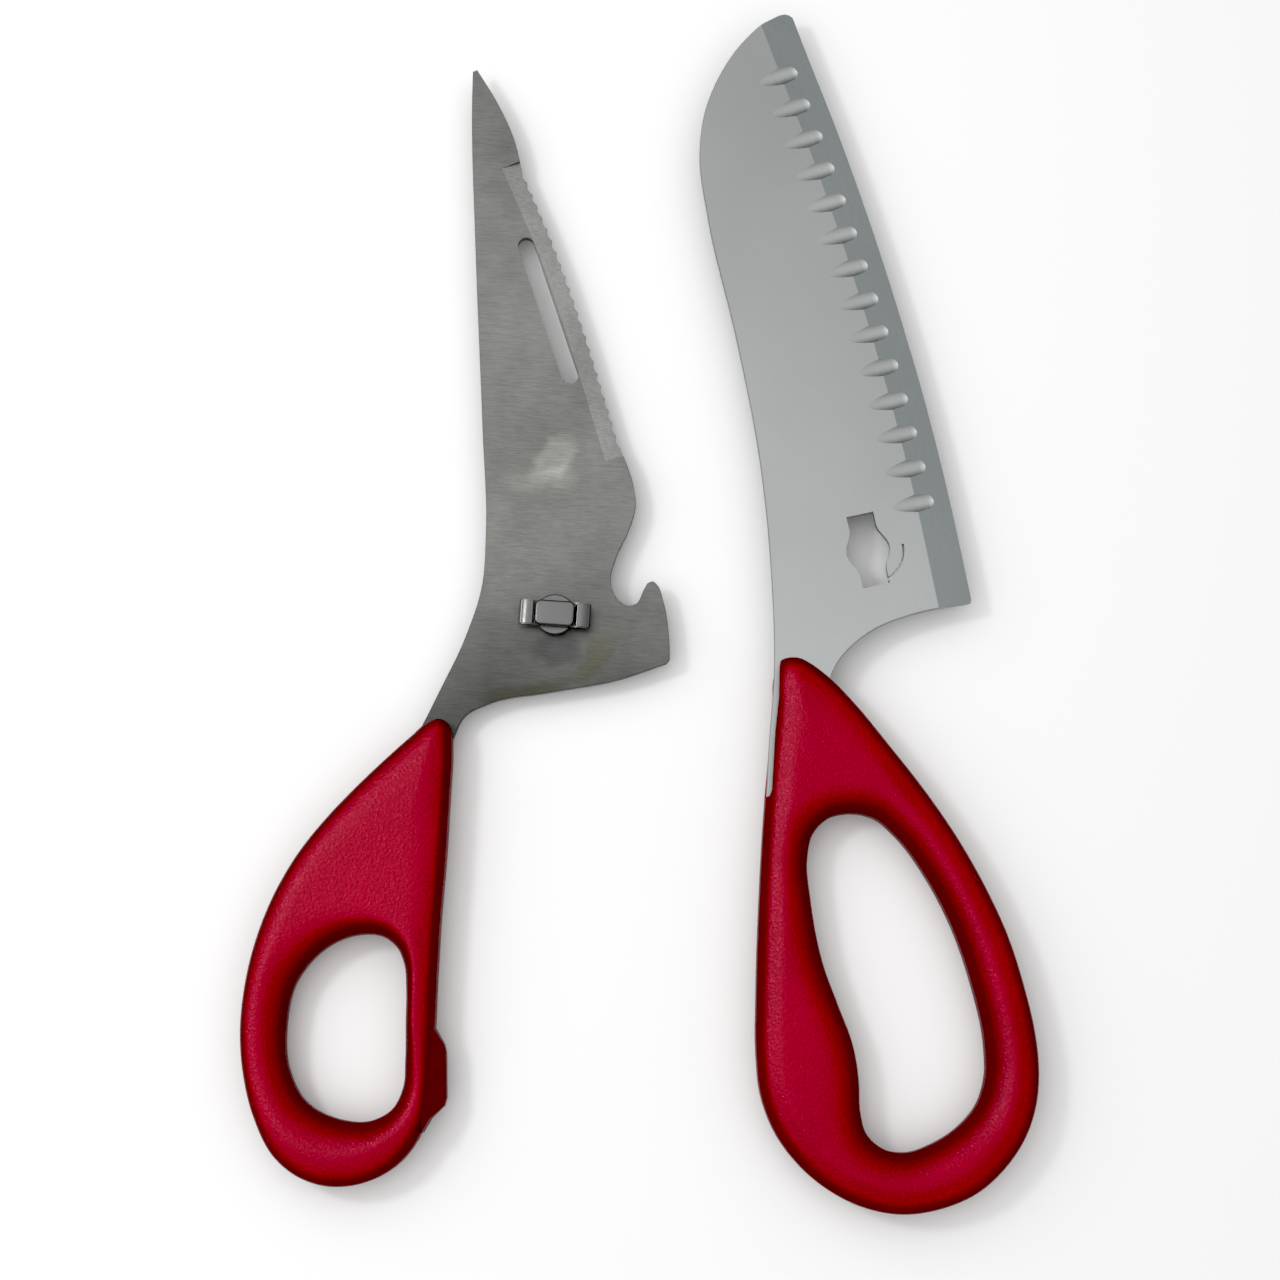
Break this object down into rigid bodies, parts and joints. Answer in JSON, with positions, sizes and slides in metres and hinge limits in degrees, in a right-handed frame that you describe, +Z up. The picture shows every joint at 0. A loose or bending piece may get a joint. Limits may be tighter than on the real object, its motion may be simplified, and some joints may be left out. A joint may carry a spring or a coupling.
{
  "type": "poultry shears",
  "caption": "Take-apart poultry shears laid out in two halves: a scalloped knife half with a keyhole and a serrated half with a T-headed pivot, both with moulded handles.",
  "frame": {"origin": "centre of the footprint of both halves, on the surface they lie on", "axes": "+Y towards the blade tips, +Z up off the surface, +X from the serrated half to the knife half"},
  "size_m": [0.1612, 0.2527, 0.013],
  "materials": {
    "blade_steel": "satin ground stainless steel",
    "serrated_steel": "cross-ground stainless steel, darker",
    "pivot_steel": "turned and tumbled stainless steel",
    "red_nylon": "crimson glass-filled nylon, fine spark-eroded grain",
    "stop_pad": "dark red, smooth"
  },
  "bodies": {
    "knife_half": {"knife_blade": "blade_steel", "finger_handle": "red_nylon"},
    "pivot_collar": {"pivot_bush": "pivot_steel"},
    "serrated_half": {"serrated_blade": "serrated_steel", "thumb_handle": "red_nylon", "handle_bumper": "stop_pad", "pivot_stud": "pivot_steel", "stud_washer": "pivot_steel"}
  },
  "joints": [
    {"name": "lift_off", "type": "slide", "parent": "knife_half", "child": "pivot_collar", "axis": [0, 0, 1], "range_m": [0, 0.04]},
    {"name": "pivot_swing", "type": "hinge", "parent": "pivot_collar", "child": "serrated_half", "pos_m": [-0.0174, -0.00465, 0.0065], "axis": [0, 0, -1], "range_deg": [0, 74]}
  ]
}
